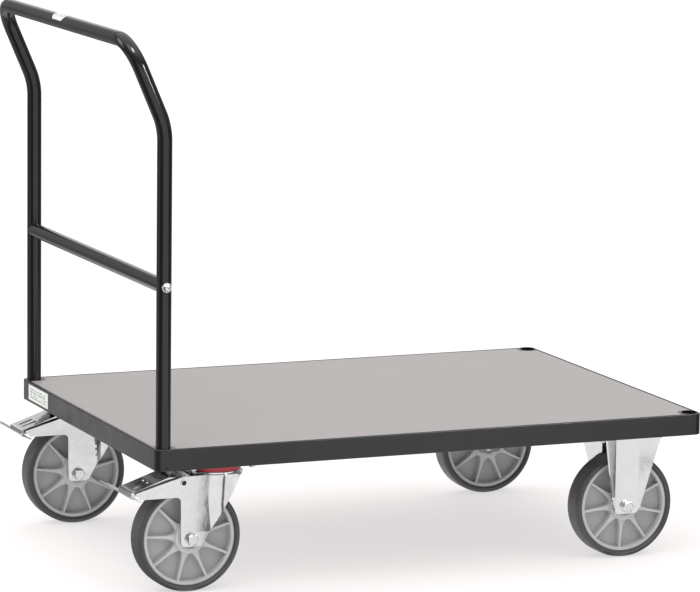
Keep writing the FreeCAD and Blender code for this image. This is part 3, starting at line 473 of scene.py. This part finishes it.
def rim_mesh():
    """Wheel centre: both ribbed faces over a polar grid that is fine across each rib and step."""
    radii = [BORE, 17.6, 19, 22, 24.4, 25.2, 25.8, 26.3, 26.9, 27.5, 28.1, 28.8, 30, 32, 34.5, 37.5, 41, 45,
             50, 56, 62, 67, 71, 72.6, 73.1, 73.4, 73.8, 74.2, 74.6, 75.1, 76.2, 77.8, 79.1, 79.7, 80.1,
             RIM_OUTER]
    sector = math.pi / RIB_COUNT

    def ring_points(r, side):
        w = rib_half(r)
        reach = r * math.sin(sector)
        near = [0.0, 0.55 * w, w - 0.6, w - 0.1, w + 0.3, w + 0.65, w + 1.0, w + 1.35, w + 2.2]
        if near[-1] > reach * 0.97:
            k = reach * 0.97 / near[-1]
            near = [d * k for d in near]
        angles = [math.asin(d / r) for d in near]
        rest = [angles[-1] + (sector - angles[-1]) * t for t in (0.2, 0.45, 0.75)]
        half = angles + rest
        points = []
        for k in range(RIB_COUNT):
            middle = 2 * sector * k
            for t in [-a for a in reversed(half[1:])] + half + [sector]:
                d = r * math.sin(min(abs(t), sector))
                y = side * rim_height(r, d)
                a = middle + t
                points.append(Vector((r * math.cos(a), y, r * math.sin(a))) * MM)
        return points

    rows = [ring_points(r, -1) for r in radii] + [ring_points(r, 1) for r in reversed(radii)]
    return grid_mesh("wheel_centre", rows)


def tyre_mesh():
    """Tyre: bead groove, sidewall, moulded line at the shoulder and a flat tread."""
    half = [(80.3, 17.6), (80.5, 18.8), (81.0, 19.9), (81.8, 20.6), (82.2, 21.3), (82.8, 22.05), (83.8, 22.5),
            (85.2, 22.35), (86.7, 21.7), (88.3, 20.5), (89.5, 18.9), (90.3, 17.3), (90.6, 15.9),
            (90.85, 15.1), (90.98, 10.0), (91.0, 0.6)]
    profile = [(r, -y) for r, y in half] + [(r, y) for r, y in reversed(half)] + [(79.6, 16.0), (79.6, -16.0)]
    return lathe_y("tyre_body", profile, TYRE_SEGMENTS)


def bearing_mesh():
    """Both bearings as one mesh: outer ring, sunk seal and inner ring."""
    bm = bmesh.new()
    for s in (-1, 1):
        o = s * 22.0
        i = s * 11.0
        profile = [(10.05, o - s * 0.4), (10.4, o), (12.2, o), (12.6, o - s * 0.4), (12.8, o - s * 0.9),
                   (14.4, o - s * 0.8), (14.8, o - s * 0.3), (15.0, o), (16.6, o), (16.98, o - s * 0.4),
                   (16.98, i), (10.05, i)]
        part = lathe_y("bearing_part", profile, BEARING_SEGMENTS)
        bm.from_mesh(part)
        bpy.data.meshes.remove(part)
    mesh = bpy.data.meshes.new("bearing_pair")
    bm.to_mesh(mesh)
    bm.free()
    return mesh


def build_wheels(mats):
    centre, tyre, bearing = rim_mesh(), tyre_mesh(), bearing_mesh()
    for wheel, phase in RIM_PHASE.items():
        lo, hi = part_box(wheel + "_tyre")
        at = (lo + hi) / 2
        turn = Matrix.Translation(at) @ Matrix.Rotation(math.radians(-phase), 4, "Y")
        for part, mesh, mat in (("rim", centre, mats["centre"]), ("tyre", tyre, mats["tyre"]),
                                ("bearings", bearing, mats["steel"])):
            node = wheel + "_" + part
            own = mesh.copy()
            own.transform(turn)
            obj = link(own, node + "_body", mat)
            sharpen(obj, WHEEL_CREASE)
            settle(obj, node)


# ---------------------------------------------------------------- push bow
# All in mm.
TUBE = 12.5             # outer radius
TUBE_INNER = 10.5
TUBE_SEGMENTS = 48
TUBE_CREASE = 40.0      # degrees; sharper edges than this stay crisp
SOCKET_INSET = 17.5     # from the cart's rear face to the bow's middle
BOW_HALF = 332.5        # from the cart's middle plane to each upright
BOW_RAKE = 61.0
KNEE_HEIGHT = 783.0
KNEE_RADIUS = 115.0
BOW_TOP = 923.5
TOP_RADIUS = 49.0
BEND_STEP = 2.5         # degrees of bend in each ring of the tube
CROSSBAR_HEIGHT = 520.5
CROSSBAR_RADIUS = 12.5
CROSSBAR_WALL = 1.5
WELD_GAP = 0.05         # between the crossbar's saddle ends and the uprights


def filleted(points, radii, step):
    """Points of a route with its corners rounded."""
    out = [points[0]]
    for i in range(1, len(points) - 1):
        a = (points[i - 1] - points[i]).normalized()
        b = (points[i + 1] - points[i]).normalized()
        half = a.angle(b) / 2
        setback = radii[i] / math.tan(half)
        middle = (a + b).normalized()
        centre = points[i] + middle * (radii[i] / math.sin(half))
        start = points[i] + a * setback
        end = points[i] + b * setback
        turn = math.pi - 2 * half
        count = max(4, int(math.degrees(turn) / step))
        u, v = start - centre, end - centre
        for k in range(count + 1):
            t = k / count
            p = (u * math.sin((1 - t) * turn) + v * math.sin(t * turn)) / math.sin(turn)
            out.append(centre + p)
    out.append(points[-1])
    return out


def tube_mesh(name, points, radius, count, inner=None):
    """Round tube along a route that lies in planes holding the Y axis or the Z axis."""
    rows = []
    normal = Vector((1, 0, 0))
    for i, p in enumerate(points):
        ahead = points[min(i + 1, len(points) - 1)] - points[max(i - 1, 0)]
        ahead.normalize()
        normal = (normal - ahead * normal.dot(ahead)).normalized()
        side = ahead.cross(normal)
        rows.append([p + radius * (math.cos(t) * normal + math.sin(t) * side)
                     for t in (2 * math.pi * k / count for k in range(count))])
    if inner:
        for i in reversed(range(len(points))):
            rows.append([points[i] + (q - points[i]) * (inner / radius) for q in rows[i]])
    rows = [[q * MM for q in row] for row in rows]
    return grid_mesh(name, rows, close_rows=bool(inner))


def build_bow(mats):
    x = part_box("corner_sockets_rear")[0].x / MM + SOCKET_INSET
    y = BOW_HALF
    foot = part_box("push_bow")[0].z / MM
    top_x = x - BOW_RAKE
    corners = [Vector((x, -y, foot)), Vector((x, -y, KNEE_HEIGHT)), Vector((top_x, -y, BOW_TOP)),
               Vector((top_x, y, BOW_TOP)), Vector((x, y, KNEE_HEIGHT)), Vector((x, y, foot))]
    route = filleted(corners, [0, KNEE_RADIUS, TOP_RADIUS, TOP_RADIUS, KNEE_RADIUS, 0], BEND_STEP)
    tube_body = tube_mesh("bow_tube", route, TUBE, TUBE_SEGMENTS, TUBE_INNER)
    tube = link(tube_body, "push_bow_tube", mats["tube"])
    sharpen(tube, TUBE_CREASE)
    settle(tube, "push_bow")
    bar = link(crossbar_mesh(x, y), "crossbar_tube", mats["tube"])
    sharpen(bar, TUBE_CREASE)
    settle(bar, "crossbar")


def crossbar_mesh(x, y):
    """Tube along Y whose ends are cut to saddle the uprights at -y and y."""
    inner = CROSSBAR_RADIUS - CROSSBAR_WALL
    rows = []
    for side, r in ((1, CROSSBAR_RADIUS), (-1, CROSSBAR_RADIUS), (-1, inner), (1, inner)):
        row = []
        for k in range(TUBE_SEGMENTS):
            t = 2 * math.pi * k / TUBE_SEGMENTS
            dx = r * math.cos(t)
            end = y - math.sqrt(TUBE ** 2 - min(dx * dx, TUBE ** 2)) - WELD_GAP
            row.append(Vector((x + dx, side * end, CROSSBAR_HEIGHT + r * math.sin(t))) * MM)
        rows.append(row)
    return grid_mesh("crossbar_tube", rows)


# ---------------------------------------------------------------- everything else from the CAD shapes
# Width in mm of the eased edges of each piece. Nodes that are not here keep the CAD mesh.
EASE = {
    "side_rail_right": 0.12, "side_rail_left": 0.12, "end_rail_rear": 0.12, "end_rail_front": 0.12,
    "corner_sockets_rear": 0.12, "corner_sockets_front": 0.12,
    "castor_bearer_rear": 0.5, "castor_bearer_front": 0.5, "centre_bearer": 0.5,
    "swivel_plate_right": 0.5, "swivel_plate_left": 0.5, "swivel_fork_right": 0.6, "swivel_fork_left": 0.6,
    "fixed_fork_right": 0.6, "fixed_fork_left": 0.6, "brake_pedal_right": 0.4, "brake_pedal_left": 0.4,
    "castor_plate_bolts": 0.3, "castor_plate_nuts": 0.3, "fixed_axle_bolts": 0.35, "fixed_axle_nuts": 0.35,
    "swivel_axle_bolt_right": 0.35, "swivel_axle_bolt_left": 0.35, "swivel_axle_nut_right": 0.35,
    "swivel_axle_nut_left": 0.35, "brake_shoe_right": 0.5, "brake_shoe_left": 0.5, "seal_rings": 0.4,
    "socket_plugs": 0.3, "crossbar_screws": 0.25,
}


def build_rest(mats):
    """A material for every node that is shown as it is, and an eased copy of the others."""
    by_slot = {"frame_paint": mats["frame"], "tube_paint": mats["tube"], "board": mats["board"],
               "black_plastic": mats["black"], "label_film": mats["label"], "seal_red": mats["red"],
               "zinc_sheet": mats["zinc"], "zinc_hardware": mats["hardware"], "spring_steel": mats["spring"],
               "brake_steel": mats["brake"], "wheel_centre": mats["centre"], "tyre": mats["tyre"],
               "bearing_steel": mats["steel"]}
    for node, obj in NODES.items():
        obj.data.materials.clear()
        obj.data.materials.append(by_slot[SLOT_OF[node]])
    for node, width in EASE.items():
        eased(node, by_slot[SLOT_OF[node]], width * MM)
    NODES["rating_label"].data.materials[0] = mats["rating"]
    NODES["handle_label"].data.materials[0] = mats["handle"]


# ---------------------------------------------------------------- stage
FLOOR_HALF = 60.0       # m
WINDOW_WAY = (0.40, 0.90, 0.17)
# Area lights: name, place, point they face, side lengths (m), power (W), and whether only gloss sees them.
LIGHTS = [
    ("key", (-3.2, -2.4, 4.2), (0, 0, 0.3), (2.6, 2.6), 30.0, False),
    ("rear_fill", (-4.5, 2.2, 2.0), (-0.3, 0, 0.4), (2.0, 2.4), 40.0, False),
    ("high_spot", (-1.07, -2.04, 3.31), (-0.51, -0.33, 0.91), (0.80, 0.80), 45.0, True),
    ("low_spot", (1.33, -2.70, 1.28), (-0.50, -0.34, 0.88), (0.70, 0.70), 36.0, True),
]


def build_stage():
    mesh = bpy.data.meshes.new("floor")
    corners = [(-FLOOR_HALF, -FLOOR_HALF, 0), (FLOOR_HALF, -FLOOR_HALF, 0), (FLOOR_HALF, FLOOR_HALF, 0),
               (-FLOOR_HALF, FLOOR_HALF, 0)]
    mesh.from_pydata(corners, [], [(0, 1, 2, 3)])
    floor = link(mesh, "floor", floor_paper(), smooth=False)
    build_world()
    for light in LIGHTS:
        add_area(*light)
    scene = bpy.context.scene
    scene.view_settings.view_transform = "Standard"
    scene.view_settings.look = "None"
    scene.view_settings.exposure = 0.0
    scene.view_settings.gamma = 1.0


def build_world():
    """White room, dimmer towards both ends of the cart, brighter overhead and in a window ahead and left."""
    world = bpy.data.worlds.new("studio")
    bpy.context.scene.world = world
    world.use_nodes = True
    tree = world.node_tree

    def node(kind, inputs, out=0, **props):
        n = tree.nodes.new(kind)
        for k, v in props.items():
            setattr(n, k, v)
        for k, v in inputs.items():
            if isinstance(v, bpy.types.NodeSocket):
                tree.links.new(v, n.inputs[k])
            else:
                n.inputs[k].default_value = v
        return n.outputs[out]

    way = tree.nodes.new("ShaderNodeTexCoord").outputs["Generated"]
    sep = tree.nodes.new("ShaderNodeSeparateXYZ")
    tree.links.new(way, sep.inputs[0])
    across = node("ShaderNodeMath", {0: sep.outputs[1]}, operation="ABSOLUTE")
    beside = node("ShaderNodeMapRange", {0: across, 1: 0.3, 2: 0.95, 3: 0.25, 4: 0.40})
    above = node("ShaderNodeMapRange", {0: sep.outputs[2], 1: 0.30, 2: 0.75, 3: 0.0, 4: 1.55})
    level = node("ShaderNodeMath", {0: beside, 1: above}, operation="MAXIMUM")
    toward = node("ShaderNodeVectorMath", {0: way, 1: WINDOW_WAY}, operation="DOT_PRODUCT", out="Value")
    window = node("ShaderNodeMapRange", {0: toward, 1: 0.88, 2: 0.97, 3: 0.0, 4: 1.0})
    level = node("ShaderNodeMath", {0: level, 1: window}, operation="MAXIMUM")
    seen = tree.nodes.new("ShaderNodeLightPath").outputs["Is Camera Ray"]
    strength = node("ShaderNodeMath", {0: level, 1: seen}, operation="MAXIMUM")
    background = tree.nodes["Background"]
    background.inputs["Color"].default_value = (1.0, 0.995, 0.985, 1.0)
    tree.links.new(strength, background.inputs["Strength"])


def add_area(name, at, target, sides, power, gloss_only):
    light = bpy.data.lights.new(name, "AREA")
    light.shape = "RECTANGLE"
    light.size, light.size_y = sides
    light.energy = power
    obj = bpy.data.objects.new(name, light)
    bpy.context.scene.collection.objects.link(obj)
    obj.location = at
    obj.visible_camera = False
    obj.visible_diffuse = not gloss_only
    obj.rotation_euler = (Vector(target) - Vector(at)).to_track_quat("-Z", "Y").to_euler()


make_camera()
rating_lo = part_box("rating_label")[0]
handle_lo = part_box("handle_label")[0]
MATS = {
    "frame": powder_coat("frame_powder_coat", rgb(29, 29, 30), 0.30, 0.14),
    "tube": powder_coat("tube_powder_coat", rgb(24, 24, 25), 0.09, 0.02),
    "board": board_face(),
    "black": moulded("black_moulding", rgb(15, 15, 16), 0.45, spec=0.0),
    "label": moulded("plain_label", rgb(236, 238, 236), 0.35, 0.05),
    "red": moulded("red_seal", rgb(178, 52, 62), 0.42),
    "zinc": zinc("zinc_sheet_plate", rgb(219, 220, 222), 0.11),
    "hardware": zinc("zinc_fastener_plate", rgb(220, 222, 224), 0.20),
    "spring": zinc("spring_wire", rgb(150, 150, 152), 0.35),
    "brake": zinc("brake_shoe_plate", rgb(120, 120, 122), 0.5),
    "centre": wheel_nylon("wheel_centre_nylon", rgb(202, 204, 205), 0.34, WHEEL_Y),
    "tyre": tyre_rubber(),
    "steel": zinc("bearing_steel_ground", rgb(190, 192, 195), 0.3),
    "rating": label_film("rating_label_film", rgb(238, 241, 238), rgb(150, 162, 155), across=2,
                         origin=(rating_lo.y, rating_lo.z + 0.0045), rows=4, row_height=0.0048,
                         first=0.008, last=0.097, seed=3.0),
    "handle": label_film("handle_label_film", rgb(240, 242, 240), rgb(165, 172, 168), across=0,
                         origin=(handle_lo.y, handle_lo.x + 0.004), rows=3, row_height=0.0045,
                         first=0.006, last=0.064, seed=8.0),
}
build_wheels(MATS)
build_bow(MATS)
build_rest(MATS)
build_stage()
